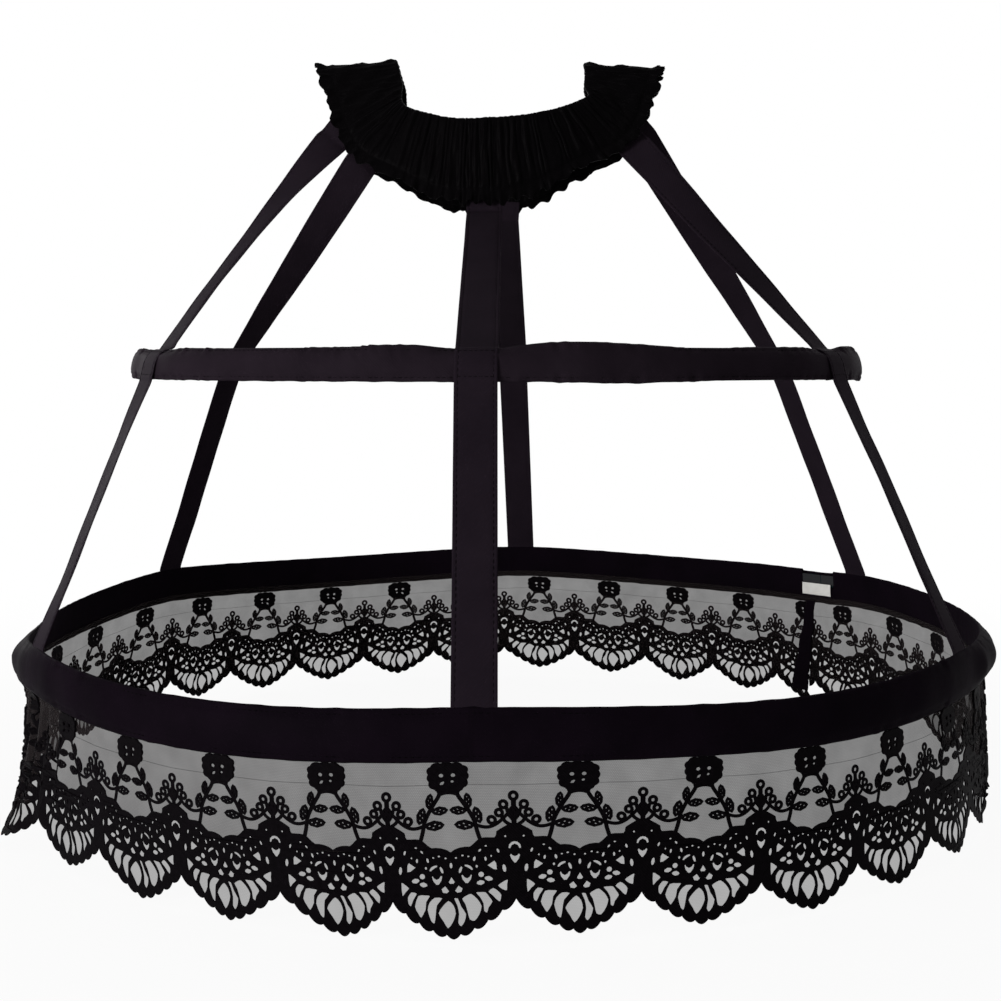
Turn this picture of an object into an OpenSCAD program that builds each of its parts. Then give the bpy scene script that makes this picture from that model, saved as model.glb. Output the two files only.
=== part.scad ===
// Crinoline cage: gathered waistband, six straps, two cased hoops and a scalloped lace hem.
// Millimetres, +Z up, front towards -Y, origin at the centre of the waistband.

/* [Waistband] */
// Half depth between the front and back of the band at the middle
waist_half_depth = 48; // [30:1:90]
// Half depth at the raised ends, where front and back lie close
end_half_depth = 7; // [6:0.5:20]
// Scale of the band's outline across and up
waist_scale = 1; // [0.8:0.01:1.3]
// Sections around the band, two for each gather
gather_sections = 136; // [96:8:160]
// Height of the gathers on the outer face
gather_depth = 1.1; // [0.4:0.1:2]
// Uneven edge of the ruffled hem, as a share of the band's height
ruffle_share = 0.035; // [0:0.005:0.06]
// Gathered cloth of one side of the band
band_cloth = 1; // [0.6:0.1:2]
// Thickness of the elastic
elastic_t = 1.1; // [1:0.1:2.5]

/* [Straps] */
// Width of each strap
strap_w = 29; // [20:1:40]
// Thickness of each strap
strap_t = 0.8; // [0.6:0.1:2]
// Length sewn behind the waistband
waist_lap = 13; // [8:1:25]
// Length sewn behind the lower casing
hoop_lap = 19; // [8:1:24]

/* [Upper hoop] */
// Radius of the upper hoop at its bone
upper_r = 301; // [250:1:360]
// Drop from the waist to the upper hoop
upper_drop = 165; // [120:1:220]
// Height of the upper casing
upper_h = 24.5; // [20:0.5:40]
// Lean of the upper casing, top inward, in degrees
upper_lean = 14; // [0:1:25]
// Sideways offset of the upper hoop from the waist
upper_shift = 8; // [0:1:20]

/* [Lower hoop] */
// Radius of the lower hoop at the middle of its casing
lower_r = 400; // [340:1:460]
// Drop from the waist to the middle of the lower casing
lower_drop = 393; // [320:1:460]
// Height of the lower casing
lower_h = 34; // [28:1:44]
// Lean of the lower casing and the lace, top inward, in degrees
lower_lean = 5; // [0:1:12]
// Sideways offset of the lower hoop from the waist
lower_shift = 12; // [0:1:20]

/* [Casings and bones] */
// Cloth of a casing wall
casing_t = 0.8; // [0.6:0.1:1.5]
// How far a casing's outer wall stands out
casing_bulge = 2.8; // [2.4:0.1:5]
// Height of the flat hoop bone
bone_h = 10; // [8:0.5:14]
// Thickness of the hoop bone
bone_t = 1; // [0.8:0.1:1.6]
// Length of the sleeve that joins the bone's ends
sleeve_l = 32; // [20:1:60]
// Wall of the sleeve
sleeve_t = 0.35; // [0.3:0.05:0.6]
// Width of the opening in each casing at the join
opening_w = 36; // [30:1:60]
// Angle of the joins from the front, in degrees
join_angle = 127.5; // [123:0.5:140]

/* [Lace] */
// Scallops around the hem
scallops = 32; // [24:1:40]
// Angle between the two flowers beside the lace's own seam, in degrees
seam_turn = 7.3; // [6:0.1:9]
// Height of the lace below the casing, to the scallop bottoms
lace_h = 105.5; // [60:1:150]
// Rise of the points between scallops
cusp_rise = 21; // [8:1:30]
// Thickness of the lace
lace_t = 0.8; // [0.6:0.1:1.5]
// Lace sewn behind the casing
lace_lap = 7; // [4:0.5:8]
// Width of a raised flower
flower_w = 24; // [10:1:30]
// Height of a raised flower above the lace
flower_t = 0.7; // [0.3:0.1:1.5]
// Slots in the fan of each scallop
fan_slots = 3; // [1:1:3]
// Width of the tape over the lace's own seam
tape_w = 12; // [8:1:20]
// Width of the blank label
label_w = 29; // [20:1:40]
// Height of the blank label
label_h = 13; // [8:0.5:16]
// Thickness of the blank label
label_t = 0.4; // [0.3:0.05:0.8]

/* [Clearances] */
// Gap between layers that are sewn together
sewn_gap = 0.15; // [0.1:0.05:0.4]
// Gap around the bone in its sleeve
bone_gap = 0.1; // [0.05:0.05:0.3]
// Gap between flat straps and the curved band
band_gap = 0.45; // [0.3:0.05:0.8]
// Gap on each side of the elastic in the band
elastic_gap = 0.4; // [0.2:0.05:0.8]

/* [Hidden] */
satin = [0.06, 0.06, 0.065];
ring_fn = 144;
// Place of each strap: round the band from 0 to 4, and angle of the hoops from the front
strap_at = [[0, 0], [0.625, 59.5], [1.31, 120.4], [1.93, 179.2], [2.56, 239.5], [3.34, 303]];
// Share of a quarter of the band before it folds over at the raised end
fold_at = 0.88;
// Outline of a quarter of the band: share, hem across, hem up, top edge across, top edge up
outline = [[0, 0, -37, 0, 34], [0.12, 19, -36, 15, 34.4], [0.25, 43, -26, 34, 36.5],
  [0.4, 76, -7, 56, 41.5], [0.5, 98, 2, 67, 45.5], [0.58, 114, 11, 72, 49.5],
  [0.66, 125, 24, 75, 54], [0.74, 133, 41, 77, 60.5], [0.82, 139, 60, 79, 69],
  [0.88, 143, 74, 81, 78.5], [1, 145, 76, 82, 80.5]];
slot_half = elastic_t / 2 + elastic_gap;
band_in = slot_half + band_cloth;
cloth_back = bone_t / 2 + bone_gap + sleeve_t + sewn_gap;
face_in = cloth_back + casing_t;
lap_v = face_in + sewn_gap + strap_t / 2;
lace_v = face_in + sewn_gap + lace_t / 2;
lower_half = lower_h / 2;
upper_half = upper_h / 2;
lower_bone_u = lower_h * 0.215;
lace_z0 = -lower_half + lace_lap;
lace_z1 = -lower_half - lace_h;
lace_turn = (360 - seam_turn) / (scallops - 1);
lace_seam = join_angle + 2.7;
lace_r1 = lower_r - lace_v + lace_h * tan(lower_lean);
pitch = 2 * lace_r1 * sin(lace_turn / 2);

// Outline of the band
function column(c) = [for (row = outline) [row[0], row[c]]];
hem_x = column(1);
hem_z = column(2);
top_x = column(3);
top_z = column(4);
function unit(v) = v / norm(v);
function mix(a, b, t) = a + (b - a) * t;
// q runs 0 to 4 around the band: front right, back right, back left, front left
function share(q) = let (k = floor(q), f = q - k) k % 2 == 0 ? f : 1 - f;
function side_x(q) = floor(q) < 2 ? 1 : -1;
function side_y(q) = (floor(q) == 1 || floor(q) == 2) ? 1 : -1;
function half_depth(s) = s < fold_at
  ? end_half_depth + (waist_half_depth - end_half_depth) * cos(90 * s / fold_at)
  : end_half_depth * cos(90 * (s - fold_at) / (1 - fold_at));
function over(s) = s < fold_at ? 0 : end_half_depth * sin(90 * (s - fold_at) / (1 - fold_at));
function wrap(q) = q < 0 ? q + 4 : (q >= 4 ? q - 4 : q);
function edge(q0, tx, tz) = let (q = wrap(q0), s = share(q))
  [side_x(q) * lookup(s, tx) * waist_scale, side_y(q) * half_depth(s),
   lookup(s, tz) * waist_scale + over(s)];
function hem(q) = edge(q, hem_x, hem_z);
function top(q) = edge(q, top_x, top_z);
function middle(q) = (hem(q) + top(q)) / 2;
function rise(q) = unit(top(q) - hem(q));
function around(q) = unit(middle(q + 0.02) - middle(q - 0.02));
function face(q) = unit(cross(around(q), rise(q)));
// Point of the band at a share of its height and a distance from its middle layer
function on_band(q, v, n) = mix(hem(q), top(q), v + 0.5) + face(q) * n;

// Sections of the folded band, with its slot open at the hem
function band_section(i) = let (q = 4 * i / gather_sections, k = i % 2, g = gather_depth * k,
    r = ruffle_share * (1 - k) + 0.012 * (i % 3), lap = band_in + g)
  [on_band(q, -0.46, -band_in), on_band(q, 0.44, -band_in), on_band(q, 0.5, 0),
   on_band(q, 0.44, band_in + g / 2), on_band(q, 0, lap), on_band(q, -0.36, band_in + g / 3),
   on_band(q, -0.5 - r, lap + g), on_band(q, -0.5 - r, slot_half + 0.1 + 2 * g),
   on_band(q, -0.38, slot_half), on_band(q, 0.42, slot_half), on_band(q, 0.42, -slot_half),
   on_band(q, -0.46, -slot_half)];
function elastic_section(i) = let (q = 4 * i / gather_sections, t = elastic_t / 2)
  [on_band(q, -0.36, -t), on_band(q, 0.4, -t), on_band(q, 0.4, t), on_band(q, -0.36, t)];

// Closed loop through equal sections
module loop(sections) {
  m = len(sections[0]);
  n = len(sections);
  polyhedron(points = [for (s = sections) each s],
    faces = [for (i = [0:n - 1], j = [0:m - 1]) let (a = i * m + j, b = i * m + (j + 1) % m,
      c = ((i + 1) % n) * m + (j + 1) % m, d = ((i + 1) % n) * m + j)
      each [[a, d, c], [a, c, b]]], convexity = 10);
}

// Ribbon through sections of [centre, across, outward]
module ribbon(path, w, t) {
  n = len(path);
  polyhedron(points = [for (p = path) each [p[0] - p[1] * w / 2 - p[2] * t / 2,
      p[0] + p[1] * w / 2 - p[2] * t / 2, p[0] + p[1] * w / 2 + p[2] * t / 2,
      p[0] - p[1] * w / 2 + p[2] * t / 2]],
    faces = [[0, 1, 2, 3], [for (j = [3:-1:0]) 4 * n - 4 + j],
      for (i = [0:n - 2], j = [0:3]) let (a = i * 4 + j, b = i * 4 + (j + 1) % 4,
        c = b + 4, d = a + 4) each (j == 2 ? [[a, d, b], [d, c, b]] : [[a, d, c], [a, c, b]])],
    convexity = 6);
}

// Casing profiles: u up the wall, v outward
function outer_v(u, half) = lookup(abs(u) / half, [[0, casing_bulge], [0.35, casing_bulge - 0.25],
  [0.62, casing_bulge - 0.9], [0.88, casing_bulge - 2.2], [1, -face_in * 0.45]]);
steps = [-1, -0.88, -0.62, -0.35, 0, 0.35, 0.62, 0.88, 1];
module wall_profile(half) {
  difference() {
    polygon(concat([for (k = steps) [outer_v(k * half, half), k * half]],
      [[-face_in, half * 0.95], [-face_in, -half * 0.95]]));
    polygon(concat([for (k = [-0.8, -0.62, -0.35, 0, 0.35, 0.62, 0.8])
      [outer_v(k * half, half) - casing_t, k * half]],
      [[-cloth_back, half * 0.8], [-cloth_back, -half * 0.8]]));
  }
}
// Places a profile at radius r, leaning its top inward
module turned(r, lean, turn = 360, start = 0) {
  rotate([0, 0, start])
    rotate_extrude(angle = turn, $fn = ring_fn)
      translate([r, 0])
        rotate(lean)
          children();
}
// Puts a hoop's parts at their height, with the join at its angle
module at_hoop(drop, shift) {
  translate([shift, 0, -drop])
    children();
}
function join_turn(r, l) = 2 * asin(l / 2 / r);
module at_join(r, lean, l) {
  turned(r, lean, join_turn(r, l), -90 + join_angle - join_turn(r, l) / 2)
    children();
}
module box2(u0, u1, v0, v1) {
  translate([v0, u0])
    square([v1 - v0, u1 - u0]);
}
module casing(r, lean, half, u) {
  open_h = bone_h / 2 + 2 * bone_gap + sleeve_t + 0.6;
  difference() {
    turned(r, lean)
      wall_profile(half);
    at_join(r, lean, opening_w)
      box2(u - open_h, u + open_h, -face_in - 1, -cloth_back + 0.3);
  }
}
module bone(r, lean, u) {
  gap = join_turn(r, 1);
  turned(r, lean, 360 - gap, -90 + join_angle + gap / 2)
    box2(u - bone_h / 2, u + bone_h / 2, -bone_t / 2, bone_t / 2);
}
module connector(r, lean, u) {
  hole_h = bone_h / 2 + bone_gap;
  hole_t = bone_t / 2 + bone_gap;
  at_join(r, lean, sleeve_l)
    difference() {
      box2(u - hole_h - sleeve_t, u + hole_h + sleeve_t, -hole_t - sleeve_t, hole_t + sleeve_t);
      box2(u - hole_h, u + hole_h, -hole_t, hole_t);
    }
}

// Point at angle a from the front, at radius r and offset u, v on a leaning wall
function out_at(a) = [sin(a), -cos(a), 0];
function across_at(a) = [cos(a), sin(a), 0];
function on_wall(a, r, lean, place, u, v) = place
  + out_at(a) * (r + v * cos(lean) - u * sin(lean)) + [0, 0, u * cos(lean) + v * sin(lean)];
function wall_face(a, lean) = out_at(a) * cos(lean) + [0, 0, sin(lean)];

// A strap from the band at q, over the upper casing, to behind the lower casing at angle a
strap_out = sewn_gap + strap_t / 2;
function over_upper(a) = [for (k = [[upper_half + 1.2, -1.6], [upper_half + 1, 0.4],
    [upper_half * 0.9, casing_bulge - 0.6], [upper_half * 0.62, casing_bulge - 0.2],
    [0, casing_bulge + 0.55], [-upper_half * 0.62, casing_bulge - 0.2],
    [-upper_half * 0.9, casing_bulge - 1], [-upper_half - 1, casing_bulge - 2.2]])
  on_wall(a, upper_r, upper_lean, [upper_shift, 0, -upper_drop], k[0], k[1])];
function behind_lower(a) = [for (u = [lower_half + 1.5, lower_half * 0.9, lower_half - hoop_lap])
  on_wall(a, lower_r, lower_lean, [lower_shift, 0, -lower_drop], u, -lap_v)];
function strap_points(q, a) = let (size = norm(top(q) - hem(q)), n = -band_in - band_gap - strap_t / 2,
    w0 = on_band(q, waist_lap / size - 0.5, n), w1 = on_band(q, -0.56, n), u = over_upper(a),
    l = behind_lower(a))
  concat([w0, w1], [for (k = [1:13]) mix(w1, u[0], k / 14)], u,
    [for (k = [1:7]) mix(u[len(u) - 1], l[0], k / 8)], l);
function strap_path(q, a) = let (p = strap_points(q, a), n = len(p), c = cross(face(q), -rise(q)))
  [for (i = [0:n - 1]) let (d = unit(p[min(i + 1, n - 1)] - p[max(i - 1, 0)]),
    k = i < 2 ? 0 : min((i - 1) / 14, 1), w0 = unit(mix(c, across_at(a), k)),
    w = unit(w0 - d * (w0 * d))) [p[i], w, cross(d, w)]];
module strap(i) {
  ribbon(strap_path(strap_at[i][0], strap_at[i][1]), strap_w, strap_t);
}

// Radial cutter or pad: a flat shape in (across, up) at angle a, from radius r0 to r1
module radial(a, r0, r1) {
  rotate([0, 0, a])
    translate([0, -r0, 0])
      rotate([90, 0, 0])
        linear_extrude(r1 - r0)
          children();
}
// The last flower lies at the seam, and the first one beyond the end of its own scallop
function flower_at(i) = lace_seam - (0.6 + i) * lace_turn;
module below_cusp() {
  h = pitch / 2;
  curve = [[-0.9, -0.06], [-0.7, 0.1], [-0.48, 0.33], [-0.26, 0.62], [-0.1, 0.86], [0, 1]];
  polygon(concat([for (p = curve) [p[0] * h, lace_z1 + p[1] * cusp_rise]],
    [for (i = [4:-1:0]) [-curve[i][0] * h, lace_z1 + curve[i][1] * cusp_rise]],
    [[h * 0.9, lace_z1 - 6], [-h * 0.9, lace_z1 - 6]]));
}
module fan_slot(k) {
  x = k * pitch * 0.26;
  z = lace_z1 + 10 + abs(k) * 6;
  polygon([[x - 3.4 + k * 1.2, z], [x + 3.4 + k * 1.2, z + abs(k) * k * 1.5],
    [x + 2.2 - k * 2, z + 13], [x - 2.2 - k * 2, z + 13]]);
}
module flower() {
  translate([0, -lower_half - flower_w * 0.42])
    polygon([for (i = [0:19]) let (r = flower_w / 2 * (i % 2 == 0 ? 1 : 0.8))
      [r * cos(i * 18), 0.76 * r * sin(i * 18)]]);
}
module lace_wall() {
  turned(lower_r, lower_lean)
    box2(lace_z1, lace_z0, -lace_v - lace_t / 2, -lace_v + lace_t / 2);
}

module waistband() {
  color(satin)
    loop([for (i = [0:gather_sections - 1]) band_section(i)]);
}
module waist_elastic() {
  color([0.15, 0.15, 0.15])
    loop([for (i = [0:gather_sections - 1]) elastic_section(i)]);
}
module strap_front() {
  color(satin)
    strap(0);
}
module strap_front_right() {
  color(satin)
    strap(1);
}
module strap_back_right() {
  color(satin)
    strap(2);
}
module strap_back() {
  color(satin)
    strap(3);
}
module strap_back_left() {
  color(satin)
    strap(4);
}
module strap_front_left() {
  color(satin)
    strap(5);
}
module upper_hoop_casing() {
  color(satin)
    at_hoop(upper_drop, upper_shift)
      casing(upper_r, upper_lean, upper_half, 0);
}
module upper_hoop_bone() {
  color([0.2, 0.2, 0.22])
    at_hoop(upper_drop, upper_shift)
      bone(upper_r, upper_lean, 0);
}
module upper_hoop_connector() {
  color([0.1, 0.12, 0.13])
    at_hoop(upper_drop, upper_shift)
      connector(upper_r, upper_lean, 0);
}
module lower_hoop_casing() {
  color(satin)
    at_hoop(lower_drop, lower_shift)
      casing(lower_r, lower_lean, lower_half, lower_bone_u);
}
module lower_hoop_bone() {
  color([0.2, 0.2, 0.22])
    at_hoop(lower_drop, lower_shift)
      bone(lower_r, lower_lean, lower_bone_u);
}
module lower_hoop_connector() {
  color([0.1, 0.12, 0.13])
    at_hoop(lower_drop, lower_shift)
      connector(lower_r, lower_lean, lower_bone_u);
}
module lace_trim() {
  flower_r = lower_r - lace_v + (lower_half + flower_w * 0.42) * tan(lower_lean);
  color([0.08, 0.075, 0.08])
    at_hoop(lower_drop, lower_shift)
      difference() {
        union() {
          lace_wall();
          for (i = [0:scallops - 2])
            radial(flower_at(i), flower_r - 1.2, flower_r + lace_t / 2 + flower_t + 1)
              flower();
          // The flower at the seam is flush inside, where the tape lies
          difference() {
            radial(flower_at(scallops - 1), flower_r - 1.2, flower_r + lace_t / 2 + flower_t + 1)
              flower();
            turned(lower_r, lower_lean, 9, -94.5 + flower_at(scallops - 1))
              box2(-lower_half - flower_w * 1.4, 0, -lace_v - 6, -lace_v);
          }
        }
        for (i = [0:scallops - 2])
          radial(flower_at(i + 0.5), lower_r - 30, lower_r + 40)
            below_cusp();
        radial(flower_at(-0.5), lower_r - 30, lower_r + 40)
          intersection() {
            below_cusp();
            translate([-pitch, lace_z1 - pitch])
              square([pitch * 1.1, pitch * 2]);
          }
        for (i = [0:scallops - 1], k = [0:fan_slots - 1])
          radial(flower_at(i), lower_r - 30, lower_r + 40)
            fan_slot(k - (fan_slots - 1) / 2);
      }
}
module lace_seam_tape() {
  v = lace_v + lace_t / 2 + 2 * sewn_gap;
  color(satin)
    at_hoop(lower_drop, lower_shift)
      turned(lower_r, lower_lean, join_turn(lower_r, tape_w),
        -90 + lace_seam - join_turn(lower_r, tape_w) / 2)
        box2(lace_z1 + cusp_rise + 3, -lower_half - 1, -v - 0.6, -v);
}
module care_label() {
  v = face_in + sewn_gap;
  color([0.93, 0.93, 0.91])
    at_hoop(lower_drop, lower_shift)
      at_join(lower_r, lower_lean, label_w)
        box2(lace_z0 + 1, lace_z0 + 1 + label_h, -v - label_t, -v);
}

waistband();
waist_elastic();
strap_front();
strap_front_right();
strap_back_right();
strap_back();
strap_back_left();
strap_front_left();
upper_hoop_casing();
upper_hoop_bone();
upper_hoop_connector();
lower_hoop_casing();
lower_hoop_bone();
lower_hoop_connector();
lace_trim();
lace_seam_tape();
care_label();
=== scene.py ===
# Crinoline cage: black satin waistband, straps and cased hoops with an embroidered lace hem.
# Sizes are in millimetres in the code and become metres when a mesh is made.
import math

import bpy
import numpy as np
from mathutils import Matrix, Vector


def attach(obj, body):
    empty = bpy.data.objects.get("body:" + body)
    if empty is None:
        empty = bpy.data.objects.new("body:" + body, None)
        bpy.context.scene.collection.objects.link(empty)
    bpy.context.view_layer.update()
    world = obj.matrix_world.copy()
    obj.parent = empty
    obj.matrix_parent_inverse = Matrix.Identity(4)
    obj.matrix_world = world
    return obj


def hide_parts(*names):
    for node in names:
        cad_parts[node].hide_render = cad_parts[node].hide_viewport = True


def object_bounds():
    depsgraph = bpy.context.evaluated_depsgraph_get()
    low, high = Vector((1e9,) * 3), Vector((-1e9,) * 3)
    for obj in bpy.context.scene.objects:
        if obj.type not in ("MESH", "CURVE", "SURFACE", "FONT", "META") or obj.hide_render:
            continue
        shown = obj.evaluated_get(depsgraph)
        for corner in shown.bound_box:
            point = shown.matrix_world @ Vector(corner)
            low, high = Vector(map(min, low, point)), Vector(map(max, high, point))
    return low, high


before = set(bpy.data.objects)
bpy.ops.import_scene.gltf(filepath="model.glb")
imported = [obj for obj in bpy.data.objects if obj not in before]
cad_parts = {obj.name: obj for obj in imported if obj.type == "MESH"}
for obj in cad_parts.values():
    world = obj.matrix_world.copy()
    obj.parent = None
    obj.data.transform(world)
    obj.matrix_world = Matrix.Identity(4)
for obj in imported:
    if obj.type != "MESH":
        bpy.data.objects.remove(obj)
cad_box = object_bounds()
bpy.ops.object.select_all(action="DESELECT")

MM = 0.001
# Hoops: radius, depth below the waist, half the casing's height, lean of its wall, shift to the right
UPPER = {"r": 301.0, "drop": 165.0, "half": 12.25, "lean": math.radians(14), "shift": 8.0}
LOWER = {"r": 400.0, "drop": 393.0, "half": 17.0, "lean": math.radians(5), "shift": 12.0}
# Place of each strap: round the band from 0 to 4, and angle of the hoops from the front
STRAPS = {"front": (0, 0), "front_right": (0.625, 59.5), "back_right": (1.317, 120.4),
          "back": (1.93, 179.2), "back_left": (2.56, 239.5), "front_left": (3.34, 303)}
STRAP_TURNS = [degrees for q, degrees in STRAPS.values()]
# Two straps turn about their length between the hoops; one is slack, so it bows outwards
STRAP_YAW = {"front_right": 3.5, "front_left": -4.5}
SLACK_STRAP = "front_left"
SLACK_BOW = 5.5
# Ribbon of the straps
STRAP_W = 29.0
STRAP_T = 0.8
# How far the lower hoop sinks between its straps, from each strap to the next
SINK = (4.4, 3.6, 5.4, 6.2, 11.0, 5.6)
# Casings: how far out the cloth bulges, how far in its inner face lies, and its rows of stitches
CASING_BULGE = 2.8
FACE_IN = 1.9
SEAM_K = 0.78
# Angle of the bones' joins, and the stretch of casing that is open there
JOIN = 127.5
OPENING = (125, 131)
# Inner face of the waistband, from its middle
BAND_IN = 1.95
# The lace's repeats run from its seam, where the last one is cut short
SCALLOPS = 32
LACE_REST = 7.3
LACE_TURN = (360 - LACE_REST) / (SCALLOPS - 1)
LACE_SEAM = JOIN + 2.7
# Depth of the lace, and how far inside the hoop's wall it hangs
LACE_H = 105.5
LACE_V = 2.45
# A scallop was drawn 122 units wide and 180 units deep, and its cusps lie at its sides
DRAWN_W = 122.0
DRAWN_H = 180.0
CUSP = DRAWN_W / 2
# Size of a drawn unit and of a repeat on the cloth's UV map
MM_ACROSS = 0.65
MM_DOWN = 0.61
REPEAT_MM = 79.4

# Colours and materials


def linear(code):
    values = [int(code[i:i + 2], 16) / 255 for i in (1, 3, 5)]
    out = [v / 12.92 if v <= 0.04045 else ((v + 0.055) / 1.055) ** 2.4 for v in values]
    return (*out, 1.0)


def wire(tree, node, sockets=None, links=None):
    for name, value in (sockets or {}).items():
        node.inputs[name].default_value = value
    for name, source in (links or {}).items():
        tree.links.new(source, node.inputs[name])
    return node


def add(tree, kind, settings=None, sockets=None, links=None):
    node = tree.nodes.new(kind)
    for name, value in (settings or {}).items():
        setattr(node, name, value)
    return wire(tree, node, sockets, links)


def start_material(name):
    mat = bpy.data.materials.new(name)
    mat.use_nodes = True
    tree = mat.node_tree
    tree.nodes.clear()
    out = add(tree, "ShaderNodeOutputMaterial")
    skin = add(tree, "ShaderNodeBsdfPrincipled")
    tree.links.new(skin.outputs[0], out.inputs[0])
    return mat, tree, skin


def uv_in_mm(tree):
    uv = add(tree, "ShaderNodeUVMap", {"uv_map": "cloth"})
    return add(tree, "ShaderNodeMapping", sockets={"Scale": (1000, 1000, 1000)},
               links={"Vector": uv.outputs[0]}).outputs[0]


def noise(tree, place, size, detail):
    """Soft noise in patches of about the given size."""
    return add(tree, "ShaderNodeTexNoise", sockets={"Scale": 1 / size, "Detail": detail},
               links={"Vector": place}).outputs[0]


def ribs(tree, place, direction, pitch, distortion, detail):
    """Ribs a pitch apart; a wave texture of scale 0.314 repeats once in a unit."""
    return add(tree, "ShaderNodeTexWave", {"bands_direction": direction},
               {"Scale": 0.314 / pitch, "Distortion": distortion, "Detail": detail},
               {"Vector": place}).outputs["Fac"]


def blend(tree, factor, first, second):
    return add(tree, "ShaderNodeMix", {"data_type": "RGBA"}, {6: linear(first), 7: linear(second)},
               {"Factor": factor}).outputs[2]


def ranged(tree, value, low, high):
    return add(tree, "ShaderNodeMapRange", sockets={"To Min": low, "To Max": high},
               links={"Value": value}).outputs[0]


def emboss(tree, height, strength, depth):
    return add(tree, "ShaderNodeBump", sockets={"Strength": strength, "Distance": depth},
               links={"Height": height}).outputs[0]


def satin(name, dark, light, rough, shine):
    # Polyester satin: long floats lie along the cloth, so it has a soft broad sheen and a fine rib.
    # The floats are about 0.3 mm apart; they are drawn 1.1 mm apart so that they show.
    # Between the fibres there is air, so the cloth as a whole reflects less than its plastic.
    mat, tree, skin = start_material(name)
    place = uv_in_mm(tree)
    cloudy = noise(tree, place, 38, 4.0)
    rib = ribs(tree, place, "DIAGONAL", 1.1, 0.6, 1.0)
    crease = noise(tree, place, 7, 3.0)
    both = add(tree, "ShaderNodeMix", {"data_type": "FLOAT"}, {"Factor": 0.72}, {"A": rib, "B": crease})
    wire(tree, skin,
         {"Sheen Weight": 0.004, "Sheen Roughness": 0.4, "IOR": 1.09, "Specular IOR Level": shine},
         {"Base Color": blend(tree, cloudy, dark, light),
          "Roughness": ranged(tree, cloudy, rough - 0.06, rough + 0.1),
          "Normal": emboss(tree, both.outputs[0], 0.35, 0.0006)})
    return mat


def net(name, thin, thick):
    # Polyester net: a fine black mesh; thin and thick are the shares of light it stops.
    # Its cells are about 0.8 mm; they are drawn 1.3 mm wide so that they show.
    mat, tree, skin = start_material(name)
    place = uv_in_mm(tree)
    mesh = add(tree, "ShaderNodeTexBrick", {"offset": 0.5},
               {"Scale": 1.0, "Mortar Size": 0.22, "Mortar Smooth": 0.8, "Brick Width": 1.3,
                "Row Height": 1.0}, {"Vector": place})
    veil = ranged(tree, noise(tree, place, 22, 2.0), thin, thick)
    solid = add(tree, "ShaderNodeMath", {"operation": "MULTIPLY_ADD"}, {1: 0.07},
                {0: mesh.outputs["Fac"], 2: veil})
    wire(tree, skin, {"Base Color": linear("#191415"), "Roughness": 0.8, "Specular IOR Level": 0.1},
         {"Alpha": solid.outputs[0]})
    return mat


def thread(name, code, rough, strand):
    # Twisted embroidery thread: close satin stitches with a slight gloss.
    # Strands are about 0.4 mm; they are drawn wider so that they show.
    mat, tree, skin = start_material(name)
    place = uv_in_mm(tree)
    lie = ribs(tree, place, "DIAGONAL", strand, 2.2, 1.0)
    fleck = noise(tree, place, 3, 2.0)
    wire(tree, skin, {"Roughness": rough, "IOR": 1.14, "Specular IOR Level": 0.08},
         {"Base Color": blend(tree, fleck, "#040304", code), "Normal": emboss(tree, lie, 0.5, 0.0004)})
    return mat


def label_ribbon():
    # White woven label ribbon: fine crosswise rib, matt, with faint soiling.
    mat, tree, skin = start_material("woven_label_ribbon")
    place = uv_in_mm(tree)
    rib = ribs(tree, place, "Y", 0.9, 0.3, 2.0)
    soil = noise(tree, place, 9, 3.0)
    wire(tree, skin, {"Roughness": 0.6},
         {"Base Color": blend(tree, soil, "#f4f3ef", "#dcdad4"), "Normal": emboss(tree, rib, 0.4, 0.0003)})
    return mat


def moulded(name, code, rough, grain):
    # Solid-coloured plastic, coated strip or elastic: smooth, with a faint grain of a size in mm.
    mat, tree, skin = start_material(name)
    place = add(tree, "ShaderNodeTexCoord").outputs["Object"]
    grains = noise(tree, place, grain * MM, 3.0)
    wire(tree, skin, {"Base Color": linear(code), "Specular IOR Level": 0.22},
         {"Roughness": ranged(tree, grains, rough, rough + 0.15),
          "Normal": emboss(tree, grains, 0.15, 0.0002)})
    return mat


BAND_SATIN = satin("gathered_polyester_satin", "#040304", "#080708", 0.34, 0.12)
STRAP_SATIN = satin("strap_polyester_satin", "#181319", "#241d24", 0.45, 0.05)
CASING_SATIN = satin("casing_polyester_satin", "#080609", "#140d15", 0.48, 0.05)
# The upper casing is the same satin as the lower one; its lighter colour is painted light, for the light
# that falls on it
UPPER_SATIN_PAINTED_LIGHT = satin("upper_casing_satin_painted_light", "#161116", "#272027", 0.46, 0.05)
NET = net("polyester_net", 0.7, 0.81)
FINE_NET = net("fine_polyester_net", 0.5, 0.6)
EMBROIDERY = thread("rayon_embroidery_thread", "#0e0b0e", 0.55, 1.0)
SEWING = thread("polyester_sewing_thread", "#0b0a0b", 0.6, 0.8)
LABEL = label_ribbon()
SLEEVE = moulded("black_pvc_sleeve", "#0a1d21", 0.12, 6)
BONE = moulded("coated_spring_steel", "#16171a", 0.3, 3)
ELASTIC = moulded("woven_elastic", "#1a191a", 0.8, 1.2)

# Mesh helpers


def round_steps(n):
    return np.arange(n) / n * 2 * np.pi


def ramp(x, first, last):
    """0 up to the first value, then rising evenly to 1 at the last."""
    return np.clip((x - first) / (last - first), 0, 1)


def steady(seed, n, waves):
    """Smooth repeatable noise around a loop of n places, about from -1 to 1."""
    rng = np.random.default_rng(seed)
    t = round_steps(n)
    out = np.zeros(n)
    for _ in range(9):
        k = max(1, int(round(waves * rng.uniform(0.55, 1.5))))
        out += rng.uniform(0.5, 1) * np.sin(k * t + rng.uniform(0, 6.28))
    return out / 2.6


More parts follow.
